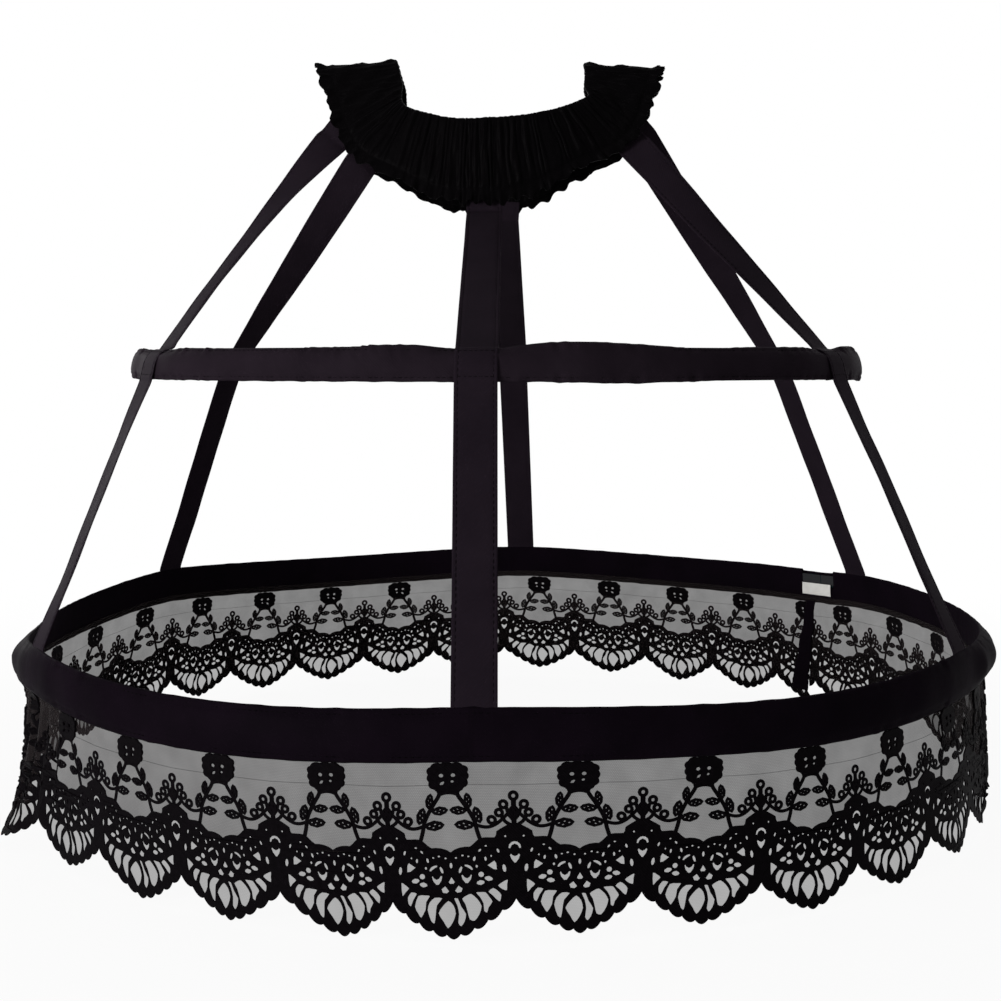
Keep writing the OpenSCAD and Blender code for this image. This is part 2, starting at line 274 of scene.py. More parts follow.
def make(name, verts, faces, uvs, material, *nodes, smooth=True):
    """A mesh piece from points in mm, with its place in the cloth as a UV map in metres."""
    mesh = bpy.data.meshes.new(name)
    mesh.from_pydata((np.reshape(verts, (-1, 3)) * MM).tolist(), [], faces)
    layer = mesh.uv_layers.new(name="cloth")
    loops = np.empty(len(mesh.loops), dtype=np.int64)
    mesh.loops.foreach_get("vertex_index", loops)
    layer.data.foreach_set("uv", (np.reshape(uvs, (-1, 2))[loops] * MM).ravel())
    mesh.materials.append(material)
    if smooth:
        mesh.shade_smooth()
    mesh.update()
    obj = bpy.data.objects.new(name, mesh)
    bpy.context.collection.objects.link(obj)
    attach(obj, "root")
    if nodes:
        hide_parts(*nodes)
    return obj


def grid_faces(n, m, loop_n, loop_m, skip=None, flip=False):
    """Quads of n rows of m points, closed up either way and turned over where asked."""
    faces = []
    for i in range(n if loop_n else n - 1):
        for j in range(m if loop_m else m - 1):
            if skip and skip(i, j):
                continue
            after = (i + 1) % n * m
            beside = (j + 1) % m
            face = (i * m + j, i * m + beside, after + beside, after + j)
            faces.append(face[::-1] if flip else face)
    return faces


def cloth_uvs(along, across):
    """UV map of a grid of cloth, from each row's length along it and each point's place across it."""
    return np.stack(np.broadcast_arrays(along[:, None], across), -1)


def thicken(obj, thickness):
    mod = obj.modifiers.new("wall", "SOLIDIFY")
    mod.thickness = thickness * MM
    mod.offset = -1
    bpy.context.view_layer.objects.active = obj
    bpy.ops.object.modifier_apply(modifier=mod.name)


def unit(v):
    return v / np.maximum(np.linalg.norm(v, axis=-1, keepdims=True), 1e-9)


def smooth_loop(a, sigma):
    reach = int(4 * sigma)
    k = np.exp(-0.5 * (np.arange(-reach, reach + 1) / sigma) ** 2)
    k /= k.sum()
    out = np.zeros_like(a)
    for w, s in zip(k, range(-reach, reach + 1)):
        out += w * np.roll(a, s, axis=0)
    return out


def out_at(a):
    return np.stack([np.sin(a), -np.cos(a), np.zeros_like(a)], -1)


def near_angle(angle, degrees, reach):
    """1 at an angle given in degrees, falling smoothly to 0 over about reach degrees."""
    d = (np.degrees(angle) - degrees + 180) % 360 - 180
    return np.exp(-(d / reach) ** 2)


def swells(angle, *places):
    """Sum of smooth swells round the hoops, each given as (height, degrees, reach in degrees)."""
    return sum(high * near_angle(angle, degrees, reach) for high, degrees, reach in places)


def hoop_sink(angle):
    """Height of the lower hoop's cloth over its flat ring: up at the straps, down between them."""
    turns = STRAP_TURNS + [360]
    d = np.degrees(angle) % 360
    out = np.zeros_like(d)
    for i, deep in enumerate(SINK):
        t = (d - turns[i]) / (turns[i + 1] - turns[i])
        inside = (t >= 0) & (t < 1)
        out = np.where(inside, 2.0 - deep * np.sin(np.pi * np.clip(t, 0, 1)) ** 1.3, out)
    # The back of the hoop hangs a little higher than its front
    out = out + 3.2 * (0.5 - 0.5 * np.cos(angle)) ** 1.5
    return out + swells(angle, (-2.2, JOIN, 9), (1.9, 14, 15))


def strap_pull(angle):
    """1 at the middle of a strap, falling smoothly to 0 about ten degrees away."""
    return np.max([near_angle(angle, turn, 5.5) for turn in STRAP_TURNS], axis=0)


def on_wall(angle, hoop, u, v):
    """Point at an angle from the front, u up a hoop's leaning wall and v out of it."""
    lean = hoop["lean"]
    a = np.asarray(angle, float)
    r = hoop["r"] + v * math.cos(lean) - u * math.sin(lean)
    p = out_at(a) * np.asarray(r)[..., None]
    p[..., 0] += hoop["shift"]
    p[..., 2] += -hoop["drop"] + u * math.cos(lean) + v * math.sin(lean)
    if hoop is LOWER:
        p[..., 2] += hoop_sink(a) + 1.4 * near_angle(a, 22, 14) * np.clip(-u / hoop["half"], 0, 1)
        # The left end of the casing is drawn inwards at its top by the strap
        inward = 9 * near_angle(a, -78, 13) * np.clip(u / hoop["half"], 0, 1) ** 1.4
    else:
        # At each strap the cloth above and below the bone follows the strap's slope
        pull = strap_pull(a)
        over = np.maximum(u - 5.6, 0) * pull
        under = np.maximum(-u - 5.6, 0) * pull
        inward = 0.62 * over - 0.32 * under
        p[..., 2] -= 0.3 * over
    p -= out_at(a) * np.asarray(inward)[..., None]
    return p


# Waistband outline: share of a quarter, hem across and up, top edge across and up
OUTLINE = np.array([
    [0, 0, -37, 0, 34], [0.12, 19, -36, 15, 34.4], [0.25, 43, -26, 34, 36.5], [0.4, 76, -7, 56, 41.5],
    [0.5, 98, 2, 67, 45.5], [0.58, 114, 11, 72, 49.5], [0.66, 125, 24, 75, 54], [0.74, 133, 41, 77, 60.5],
    [0.82, 139, 60, 79, 69], [0.88, 143, 74, 81, 78.5], [1, 145, 76, 82, 80.5]])
FOLD_AT = 0.88
DEPTH = 48.0
END_DEPTH = 7.0
GATHERS = 128
# How the band settles as it hangs: edge, axis, side, then shifts at shares of a quarter
SETTLE = (
    ("hem", 2, "left", (0.1, 0.3, 0.42, 0.55, 0.7), (0, -1.82, -2.6, -1.82, 0)),
    ("hem", 2, "right", (0.1, 0.3, 0.42, 0.55, 0.7), (0, 1.82, 2.6, 1.82, 0)),
    ("top", 0, "left", (0.4, 0.55, 0.66, 0.8, 1), (0, 3, 4.6, 8.5, 5.5)),
    ("top", 0, "right", (0.5, 0.6, 0.68, 0.78, 1), (0, 5, 11, 4, -0.5)),
    ("top", 2, "left", (0.7, 1), (0, 1)),
    ("top", 2, "right", (0.7, 1), (0, -3.2)),
    ("hem", 2, "left", (0.6, 1), (0, -3)),
    ("hem", 2, "right", (0.6, 1), (0, -1.5)),
    ("hem", 2, "both", (0, 0.14, 0.27), (5, 4.5, 0)),
    ("hem", 0, "left", (0.5, 0.66, 0.8, 0.92, 1), (0, 5.5, 7, 4, 2)),
    ("hem", 2, "left", (0.82, 0.92, 1), (0, 4, 6)),
    ("top", 2, "left", (0, 0.2, 0.4), (-0.5, -1.5, 0)))
# Heights of the rows of cloth, from -0.5 at the hem to 0.5 at the top, with the seam over the ruffle
OUTER_ROWS = (-0.525, -0.515, -0.49, -0.46, -0.43, -0.405, -0.385, -0.37, -0.355, -0.325, -0.28, -0.22,
              -0.15, -0.08, -0.01, 0.06, 0.13, 0.2, 0.27, 0.34, 0.39, 0.43, 0.46, 0.48, 0.493)
INNER_ROWS = (0.485, 0.44, 0.36, 0.24, 0.1, -0.06, -0.22, -0.34, -0.42, -0.455)
SEAM_FOOT = -0.385
SEAM_HEAD = -0.355
# First row inside the band, past two of the three rows of its folded top
FIRST_IN = len(OUTER_ROWS) + 2


def band_edges(q):
    q = np.mod(np.asarray(q, float), 4)
    k = np.floor(q).astype(int)
    f = q - k
    s = np.where(k % 2 == 0, f, 1 - f)
    sx = np.where(k < 2, 1, -1)
    sy = np.where((k == 1) | (k == 2), 1, -1)
    turn = np.clip((s - FOLD_AT) / (1 - FOLD_AT), 0, 1) * np.pi / 2
    flat = END_DEPTH + (DEPTH - END_DEPTH) * np.cos(np.pi / 2 * s / FOLD_AT)
    y = np.where(s < FOLD_AT, flat, END_DEPTH * np.cos(turn)) * sy
    lift = END_DEPTH * np.sin(turn)
    col = [np.interp(s, OUTLINE[:, 0], OUTLINE[:, c]) for c in (1, 2, 3, 4)]
    hem = np.stack([sx * col[0], y, col[1] + lift], -1)
    top = np.stack([sx * col[2], y, col[3] + lift], -1)
    return hem, top


def band_frame(q):
    hem, top = band_edges(q)
    ahead = sum(band_edges(np.asarray(q) + 0.02)) / 2
    behind = sum(band_edges(np.asarray(q) - 0.02)) / 2
    rise = unit(top - hem)
    face = unit(np.cross(unit(ahead - behind), rise))
    return hem, top, rise, face


def spacing(line):
    return np.linalg.norm(np.roll(line, -1, 0) - line, axis=1)


def band_lines(n):
    """Hem and top of the band as it hangs; each place's share of its quarter, side and direction."""
    place = np.arange(n) * 4 / n
    hem, top = band_edges(place)
    forth = np.floor(place) % 2 == 0
    share = np.where(forth, place % 1, 1 - place % 1)
    left = hem[:, 0] < 0
    edges = {"hem": hem, "top": top}
    sides = {"left": left, "right": ~left, "both": np.ones(n, bool)}
    for edge, axis, side, shares, shifts in SETTLE:
        edges[edge][:, axis] += np.where(sides[side], np.interp(share, shares, shifts), 0)
    return smooth_loop(hem, 5), smooth_loop(top, 5), share, left, forth


def gathered_rows(hem, top, share, left, forth, length):
    """Heights and distances out of the cloth's rows: hem, outside, folded top, inside, ruffle's back."""
    n = len(share)
    phase = 2 * np.pi * GATHERS * length / length[-1] + 2.4 * steady(3, n, 34)
    size = np.clip(0.6 + 0.45 * steady(5, n, 60), 0.1, 1.2)
    squeeze = smooth_loop(np.clip(spacing(hem) / np.maximum(spacing(top), 0.15), 1, 4), 8)
    # Gathers lean over on the raised ends, and break up in between
    ear = ramp(share, 0.58, 0.78) * np.where(forth, 1, -1)
    wobble = steady(7, n, 30)
    stray = [steady(11 + k, n, 26 + 9 * k) for k in range(4)]
    ragged = np.clip(0.5 + 0.6 * steady(9, n, 46), 0, 1.2)
    calm = 1 - 0.65 * ramp(share, 0.62, 0.78)
    from_end = np.abs(length - np.where(left, length[3 * n // 4], length[n // 4]))
    tall = np.linalg.norm(top - hem, axis=1)
    rows = []
    for v in OUTER_ROWS:
        bend = phase + 1.6 * np.sin(5.2 * v + 3 * wobble) * (0.55 - v) - 9 * ear * v
        bend = bend + 1.3 * stray[0] * np.sin(9 * v + 2 * stray[1])
        ridge = (0.5 + 0.5 * np.cos(bend)) ** 0.75
        soft = 0.5 + 0.5 * np.cos(bend / 2 + 1.3 * wobble)
        rise = np.full(n, v)
        if v < SEAM_FOOT:
            k = min((SEAM_FOOT - v) / 0.1, 1)
            out = 1.0 + k * 4.2 * size * (0.65 * soft + 0.35 * ridge)
            if v < -0.48:
                rise += k * (0.02 * soft - 0.055 * ragged)
        elif v < SEAM_HEAD:
            out = 0.9 + 0.7 * ridge * size
        else:
            k = min((v + 0.37) / 0.06, 1) * min((0.53 - v) / 0.1, 1)
            fold = 0.7 * (squeeze - 1) * (0.5 + v) * (0.5 + 0.5 * np.cos(bend / 5 + wobble))
            slant = (0.5 + 0.5 * np.cos(0.3 * (from_end + 0.8 * v * tall) + wobble)) ** 5
            crumple = 0.5 * stray[2] * np.sin(11 * v + 3 * stray[3])
            crumple += 0.35 * stray[3] * np.sin(23 * v + 4 * wobble)
            full = (1.9 * ridge * size + fold) * calm + crumple + 2.2 * slant * (1 - calm)
            out = 1.3 + k * np.maximum(full, -0.3)
        rows.append((rise, out))
    edge = 0.0048 * np.cos(phase) * size
    rows += [(v + edge, np.full(n, d)) for v, d in ((0.5, 0.7), (0.503, 0), (0.498, -0.8))]
    for v in INNER_ROWS:
        rows.append((np.full(n, v), -1.9 + 0.7 * (0.5 + 0.5 * np.cos(phase + 2 * v)) * size))
    rows += [(np.full(n, v), np.full(n, d)) for v, d in ((-0.463, -1.4), (-0.455, -0.9), (-0.41, 0.1))]
    hem_rise, hem_out = rows[0]
    rows += [(np.full(n, -0.46), 0.2 + 0.4 * (hem_out - 1)), (hem_rise + 0.004, hem_out - 0.7)]
    return (np.stack(part, 1) for part in zip(*rows))


# Waistband: folded satin gathered on its elastic, with a ruffled hem
def waistband():
    n = 1120
    hem, top, share, left, forth = band_lines(n)
    mid = (hem + top) / 2
    along = unit(np.roll(mid, -1, 0) - np.roll(mid, 1, 0))
    face = unit(smooth_loop(unit(np.cross(along, unit(top - hem))), 4))
    length = np.cumsum(smooth_loop(spacing(mid), 8))
    # The folded top of each raised end dips in its middle
    dip = ramp(share, 0.7, 1) ** 2 * np.where(left, 2.6, 2)
    heights, outs = gathered_rows(hem, top, share, left, forth, length)
    m = heights.shape[1]
    verts = hem[:, None] + (top - hem)[:, None] * (heights + 0.5)[..., None]
    verts += face[:, None] * outs[..., None]
    from_middle = (np.clip(heights, -0.5, 0.5) + 0.12) / 0.62
    verts[..., 2] -= dip[:, None] * np.cos(from_middle * np.pi / 2).clip(0) ** 0.6
    uvs = cloth_uvs(length, heights * 70 + np.where(np.arange(m) < FIRST_IN, 0, 160))
    obj = make("waistband_satin", verts, grid_faces(n, m, True, False), uvs, BAND_SATIN, "waistband")
    thicken(obj, 0.4)
    # The elastic between the two layers, with a quarter of the band's columns
    foot, head = -0.34, 0.38
    down = dip[:, None] * np.array([0, 0, 1])
    rows = [hem + (top - hem) * (v + 0.5) + face * d - down for v, d in
            ((foot, -0.5), (head, -0.5), (head, 0.4), (foot, 0.4))]
    strip = make("woven_elastic_band", np.stack(rows, 1)[::4], grid_faces(n // 4, 4, True, True),
                 cloth_uvs(length, (0, 50, 52, 102))[::4], ELASTIC, "waist_elastic")


# Casings: puckered satin tubes with the opening at the bone's join
# Uneven edges of the upper one and slumps of the lower one: (height, degrees, reach in degrees)
UPPER_ARCH = ((3.2, 13, 10), (-1.6, 31, 5), (2, 68, 14), (1.4, -10, 6), (-1.2, -31, 12))
UPPER_SAG = ((1.2, 19, 7), (-1.4, 40, 6), (2, 76, 9))
LOWER_SLUMP = ((0.5, -73, 13), (1.6, 75, 11), (0.4, 32, 14))


def outer_v(k):
    return np.interp(np.abs(k), [0, 0.35, 0.62, 0.88, 1],
                     [CASING_BULGE, CASING_BULGE - 0.25, CASING_BULGE - 0.9, CASING_BULGE - 2.2,
                      -FACE_IN * 0.45])


def near_strap(angle, reach):
    """1 at a strap's middle, falling to 0 at reach degrees."""
    near = [np.abs((np.degrees(angle) - turn + 180) % 360 - 180) for turn in STRAP_TURNS]
    return np.clip(1 - np.min(near, axis=0) / reach, 0, 1)


def casing(name, node, hoop, inner_k, window, seed, pucker):
    n = 720
    angle = round_steps(n)
    arc = hoop["r"] * angle
    half = hoop["half"]
    upper = hoop is UPPER
    calm = 1 - np.clip(1.6 * near_strap(angle, 7), 0, 1)
    broad, fine, flow = (steady(seed + i, n, arc[-1] / size) for i, size in enumerate((62, pucker, 30)))
    rough = 1.1 if upper else 0.5
    arch, sag, slump, crumple = np.zeros((4, n))
    if upper:
        # Each strap draws the upper casing down; left of the front one it is crumpled above its bone
        arch = swells(angle, *UPPER_ARCH) - 1.2 * near_strap(angle, 8)
        sag = swells(angle, *UPPER_SAG)
        crumple = 1.3 * near_angle(angle, -14, 9)
    else:
        slump = 4.5 * swells(angle, *LOWER_SLUMP)
    rows = []
    for k in np.linspace(-1, 1, 19):
        rim = ramp(abs(k), 0.45, 0.85)
        dent = 0.55 * broad * (1 - k * k) + rough * rim * (fine - 0.4) * (0.5 + 0.5 * flow)
        dent -= 0.5 * np.exp(-((abs(k) - SEAM_K) / 0.07) ** 2)
        dent += slump * (1 - k * k)
        dent += crumple * np.sin(arc * 0.42 + 3 * flow + 2 * k) * max(0, k + 0.1)
        u = k * half + 0.5 * flow * max(0, abs(k) - 0.7) * (1 if k > 0 else -1)
        u = u + arch * max(0, k) ** 2 - sag * max(0, -k) ** 2
        rows.append((u, outer_v(k) + np.minimum(dent, 0) + np.maximum(dent, 0) * calm))
    first_inner = len(rows)
    for k in inner_k:
        rows.append((np.full(n, k * half), np.full(n, -FACE_IN) + 0.12 * (1 + fine) * (abs(k) < 0.9)))
    m = len(rows)
    verts = np.stack([on_wall(angle, hoop, u, v) for u, v in rows], 1)
    uvs = cloth_uvs(arc, [np.mean(u) if j < first_inner else 80 - np.mean(u)
                          for j, (u, v) in enumerate(rows)])

    def opening(i, j):
        if not OPENING[0] <= i * 360 / n < OPENING[1]:
            return False
        if j < first_inner:
            return not upper and j >= first_inner - 2
        if j + 1 == m:
            return False
        return window[0] <= (inner_k[j - first_inner] + inner_k[j - first_inner + 1]) / 2 <= window[1]

    # The upper casing takes the lighter copy of the satin, which paints in the light it catches
    obj = make(name, verts, grid_faces(n, m, True, True, opening, flip=True), uvs,
               UPPER_SATIN_PAINTED_LIGHT if upper else CASING_SATIN, node)
    thicken(obj, 0.6)


# Lower bone: a flat steel strip that follows its casing, from one side of the join to the other
def lower_bone():
    bpy.ops.mesh.primitive_grid_add(x_subdivisions=360, y_subdivisions=2, size=2)
    obj = bpy.context.object
    obj.name = "lower_bone_steel"
    flat = np.array([v.co[:] for v in obj.data.vertices])
    angle = np.radians(JOIN + 180) + flat[:, 0] * math.radians(179.9)
    place = on_wall(angle, LOWER, LOWER["half"] * 0.43 + flat[:, 1] * 5, np.full(len(flat), -0.5)) * MM
    obj.data.vertices.foreach_set("co", place.ravel())
    obj.data.materials.append(BONE)
    thicken(obj, 0.9)
    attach(obj, "root")
    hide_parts("lower_hoop_bone")


# Straps: satin ribbons from the band, over the upper casing, to the top seam of the lower one
def strap_path(q, degrees, quick, yaw, bow):
    """Middle line of a strap, its direction across and its direction out, at close steps."""
    a = math.radians(degrees)
    hem, top, rise, face = band_frame(q)
    half = UPPER["half"]
    sewn_on = hem - (top - hem) * 0.06 - face * (BAND_IN + 0.45 + STRAP_T / 2)
    run = unit(on_wall(a, UPPER, half, 0) - sewn_on)
    run = unit(unit(run - face * (run @ face)) - 0.6 * rise)
    b = CASING_BULGE
    over = [(half + 1.2, -1.6), (half + 1, 0.4), (half * 0.9, b - 0.6), (half * 0.62, b - 0.2),
            (0, b + 0.55), (-half * 0.62, b - 0.2), (-half * 0.9, b - 1), (-half - 1, b - 2.2)]
    points = [sewn_on - run * 17, sewn_on] + [on_wall(a, UPPER, u, v) for u, v in over]
    # The lower end is sewn into the top seam of the casing, above its bone
    low = LOWER["half"]
    points += [on_wall(a, LOWER, u, -FACE_IN * 0.65) for u in (low + 1.5, low * 0.9, low - 4.5)]
    # The ribbon turns from the band's face to the hoop's between its second and third points
    twist = [0, 0] + [1] * (len(points) - 2)
    dense, turn = [], []
    for i in range(len(points) - 1):
        steps = max(2, int(np.linalg.norm(points[i + 1] - points[i]) / 1.6))
        for t in np.arange(steps) / steps:
            dense.append(points[i] + (points[i + 1] - points[i]) * t)
            turn.append(twist[i] + (twist[i + 1] - twist[i]) * t)
    dense.append(points[-1])
    turn.append(1)
    # Above the upper hoop a slack strap bows outwards
    p = np.array(dense) + out_at(a) * (bow * np.sin(np.pi * np.array(turn)))[:, None]
    for _ in range(2):
        p[1:-1] = 0.25 * p[:-2] + 0.5 * p[1:-1] + 0.25 * p[2:]
    d = unit(np.gradient(p, axis=0))
    turn = 1 - (1 - np.array(turn)[:, None]) ** quick
    w = unit(np.cross(face, -rise) * (1 - turn) + np.array([math.cos(a), math.sin(a), 0]) * turn)
    w = unit(w - d * (w * d).sum(1, keepdims=True))
    # Between the hoops the strap turns a little about its length
    z = p[:, 2]
    free = ramp(-z - UPPER["drop"], 14, 54) * ramp(z + LOWER["drop"], 20, 60)
    lean = np.radians(yaw * free)[:, None]
    w = w * np.cos(lean) - np.cross(d, w) * np.sin(lean)
    return p, w, np.cross(d, w)


def strap(name):
    """One strap; gives its middle line, directions across and out, and lengths for its seams."""
    q, degrees = STRAPS[name]
    # The slack strap also turns to face the hoop sooner than the others
    slack = name == SLACK_STRAP
    p, w, out = strap_path(q, degrees, 3.2 if slack else 1, STRAP_YAW.get(name, 0),
                           SLACK_BOW if slack else 0)
    n = len(p)
    free = ramp(np.linalg.norm(p - p[0], axis=1), 18, 58)
    free *= ramp(np.abs(p[:, 2] + UPPER["drop"]), 16, 46)
    free *= ramp(np.linalg.norm(p - p[-1], axis=1), 24, 54)
    seed = 40 + int(degrees)
    rng = np.random.default_rng(seed)
    t = np.linspace(0, 1, n)
    sway = sum(rng.uniform(0.3, 0.9) * np.sin(2 * np.pi * k * t + rng.uniform(0, 6.28))
               for k in (2, 3, 5)) * 0.3
    cup = 0.4 * np.sin(2 * np.pi * 1.5 * t + rng.uniform(0, 6.28))
    # Across half the ribbon, drawn 0.8 mm thick: a folded edge, a stitched groove and a flat middle
    edge = [(1, 0.1), (0.985, 0.36), (0.93, 0.46), (0.86, 0.4), (0.82, 0.2), (0.78, 0.36), (0.6, 0.38),
            (0.3, 0.4)]
    across = [(-x, h) for x, h in edge] + [(0, 0.4)] + edge[::-1]
    ring = across + [(x, -h) for x, h in reversed(across)]
    m = len(ring)
    rows = []
    for x, h in ring:
        lift = free * (sway + cup * x * x + 0.12 * np.sin(t * 60 + 4 * x) * abs(x))
        rows.append(p + w * (x * STRAP_W / 2) + out * (h * STRAP_T / 0.8 + lift)[:, None])
    length = np.concatenate([[0], np.cumsum(np.linalg.norm(np.diff(p, axis=0), axis=1))])
    uvs = cloth_uvs(length + 700 * (seed % 7), [x * STRAP_W / 2 + (0 if j < len(across) else 60)
                                                for j, (x, h) in enumerate(ring)])
    faces = grid_faces(n, m, False, True, flip=True)
    faces.append(tuple(range(m)))
    faces.append(tuple(reversed(range((n - 1) * m, n * m))))
    obj = make(f"strap_{name}_satin", np.stack(rows, 1), faces, uvs, STRAP_SATIN, f"strap_{name}")
    return p + out * (free * sway)[:, None], w, out, length


# Lace: embroidery drawn flat as one scallop, then wrapped round the hem
# On the left the lace hangs askew, and only in front to its whole depth: (amount, degrees, reach)
LACE_SKEW = ((0.048, -40, 24), (0.02, -14, 6), (-0.012, 20, 16))
LACE_DEPTH = ((0.04, -5, 7), (-0.03, -43, 9))
LACE_TUCK = ((-6, -79, 8), (-7, 81, 9))
# Folds at both sides come round about every 23 mm
FOLD_RATE = 110


def flower_at(i):
    return LACE_SEAM - (0.6 + i) * LACE_TURN


def hang(x, y, turn, out):
    """Point of the lace: x across and y down in drawn units from a flower at an angle in degrees."""
    angle = np.radians(turn + np.asarray(x, float) / DRAWN_W * LACE_TURN)
    down = np.asarray(y, float) / DRAWN_H * LACE_H
    deep = np.clip(down / LACE_H, 0, 1) ** 1.3
    angle = angle + deep * swells(angle, *LACE_SKEW)
    angle = angle - 0.0105 * np.clip(1 - down / LACE_H, 0, 1) * near_angle(angle, 0, 16)
    down = down * (0.99 + swells(angle, *LACE_DEPTH))
    share = np.clip(down / LACE_H, 0, 1)
    ripple = 1.5 * np.sin(angle * 16 + 0.7 * np.sin(angle * 5)) + 1.1 * np.sin(angle * 7 + 1.9)
    ripple += 0.5 * np.sin(angle * 41 + 2.0 * np.sin(angle * 3))
    ripple += swells(angle, *LACE_TUCK) + 17 * near_angle(angle, -56, 5) * share
    waist = -13 * near_angle(angle, -74, 14) * np.sin(np.pi * share ** 0.8) ** 0.7
    # At both sides the lace is gathered into folds
    fold = 5 * np.sin(angle * FOLD_RATE)
    waist = waist + fold * near_angle(angle, 80, 9) * share ** 0.4
    waist = waist + fold * near_angle(angle, -65, 13) * np.sin(np.pi * share ** 0.7)
    return on_wall(angle, LOWER, -LOWER["half"] - down, -LACE_V + out + waist + ripple * deep * 1.1)


def turned(x, y, cx, cy, tilt):
    """Points turned by a tilt in degrees and moved to their middle."""
    c, s = math.cos(math.radians(tilt)), math.sin(math.radians(tilt))
    return [(cx + a * c - b * s, cy + a * s + b * c) for a, b in zip(x, y)]


def oval(cx, cy, w, h, n, tilt=0.0):
    t = round_steps(n)
    return turned(np.cos(t) * w / 2, np.sin(t) * h / 2, cx, cy, tilt)


def leaf(cx, cy, length, width, tilt):
    t = round_steps(8)
    y = np.sin(t) * width / 2 * (0.55 + 0.45 * np.abs(np.sin(t)))
    return turned(np.cos(t) * length / 2, y, cx, cy, tilt)


def bar(points, width, n=3):
    """Outline of a strip of even width along a smooth line of points."""
    p = np.array(points, float)
    k = np.linspace(0, len(p) - 1, (len(p) - 1) * n + 1)
    i = np.clip(k.astype(int), 0, len(p) - 2)
    f = (k - i)[:, None]
    pad = np.vstack([2 * p[0] - p[1], p, 2 * p[-1] - p[-2]])
    a, b, c, d = pad[i], pad[i + 1], pad[i + 2], pad[i + 3]
    line = 0.5 * ((2 * b) + (c - a) * f + (2 * a - 5 * b + 4 * c - d) * f ** 2
                  + (3 * b - a - 3 * c + d) * f ** 3)
    t = unit(np.gradient(line, axis=0))
    side = np.stack([-t[:, 1], t[:, 0]], 1) * width / 2
    return [tuple(q) for q in line + side] + [tuple(q) for q in (line - side)[::-1]]


def mirror(shape):
    return [(-x, y) for x, y in shape]


def both_sides(*shapes):
    return [s for shape in shapes for s in (shape, mirror(shape))]


def past_cusp(*shapes):
    return [s for shape in shapes for s in (shape, [(DRAWN_W - x, y) for x, y in shape])]


def rounded(points, n=2):
    """Closed outline with its corners softened, through the given points."""
    p = np.array(points, float)
    a, b, c, d = (np.roll(p, k, axis=0) for k in (1, 0, -1, -2))
    out = []
    for f in np.arange(n) / n:
        out.append(b + 0.36 * ((c - a) * f * (1 - f) ** 2 - (d - b) * f ** 2 * (1 - f))
                   + (c - b) * (3 * f ** 2 - 2 * f ** 3))
    return [tuple(q) for q in np.stack(out, 1).reshape(-1, 2)]


def wider(shape, k):
    """Shape made larger about its own middle, to leave room for the rounded edge of the thread."""
    p = np.array(shape, float)
    return [tuple(q) for q in (p - p.mean(0)) * k + p.mean(0)]


def scallop_edge():
    """Lower edge of one scallop from cusp to cusp, with nine round picot bumps."""
    t = np.linspace(-1, 1, 73)
    y = 181 - 36 * np.abs(t) ** 1.5
    bump = np.abs(np.sin((t + 1) / 2 * 9 * np.pi))
    return [(CUSP * a, b - 4 + 4 * c ** 0.8) for a, b, c in zip(t, y, bump)]


def fan_slots():
    """Openings of the fan, between curved bars from the swag to the border."""
    return [rounded(wider(shape, 1.13)) for shape in (
        [(-50.4, 122.4), (-46, 124.6), (-42.8, 127.8), (-46.4, 131.6), (-50, 135.4)],
        [(-40.6, 132), (-35.2, 133.4), (-38.6, 139), (-41.6, 145.4), (-44.2, 143), (-44.4, 137)],
        [(-33.4, 136), (-27, 135.6), (-22.4, 136.4), (-26, 142), (-27, 149), (-31.6, 156.6),
         (-34.4, 152.6), (-37.2, 146)],
        [(-17.4, 138.6), (-10.2, 139.6), (-15.4, 146), (-16.8, 154), (-18.4, 162.6), (-21.8, 160.4),
         (-24.6, 150), (-22.4, 143)],
        [(-4, 142.6), (0.6, 147.4), (2.2, 155), (-0.8, 163), (-5.6, 168.6), (-9.6, 161.6), (-13.6, 154),
         (-9.6, 147.6)],
        [(1.8, 140.8), (5.8, 141), (8.4, 148.4), (12.4, 155.6), (10.6, 163), (7.2, 167.2), (4.6, 163.4),
         (5.6, 155.4), (4.4, 147.6)],
        [(10, 141), (14, 138), (18.4, 136.6), (23.6, 141.4), (27.2, 148.2), (25, 156), (20.6, 162),
         (16, 160.4), (14.4, 153.4), (12.6, 146)],
        [(23.4, 135), (28, 134.6), (32.4, 135), (35.6, 139.6), (38, 144), (34.4, 149.6), (33, 154.2),
         (30, 152.4), (29.6, 145.4), (26.8, 139.6)],
        [(39.8, 130.4), (44, 133.4), (46.8, 137.4), (45.4, 143.8), (42.4, 142), (39, 138), (35.2, 134)],
        [(53.4, 122), (52.8, 127), (52.4, 132.8), (48.4, 131.6), (44.4, 127.8), (48, 124.6)])]


def heart(cx, cy, w, h):
    """Hole like a bent triangle: notched above by a round knot and pointed below."""
    return [(cx + w * a, cy + h * b) for a, b in
            ((-0.52, -0.4), (-0.34, -0.5), (-0.16, -0.2), (0.06, -0.1), (0.26, -0.24), (0.4, -0.52),
             (0.52, -0.36), (0.42, 0.1), (0.12, 0.52), (-0.14, 0.5), (-0.42, 0.06))]


def lobes(cx, cy, r, wide):
    """Two curved eyelets around the upper side of a round knot."""
    found = []
    for first, last in ((-196, -124), (-104, -8)):
        t = np.radians(np.linspace(first, last, 6))
        deep = wide * (0.45 + 0.55 * np.sin(np.linspace(0.35, 2.8, 6)))
        outer = [(cx + r * math.cos(a), cy + r * math.sin(a)) for a in t]
        inner = [(cx + (r - d) * math.cos(a), cy + (r - d) * math.sin(a)) for a, d in zip(t, deep)]
        found.append(outer + inner[::-1])
    return found


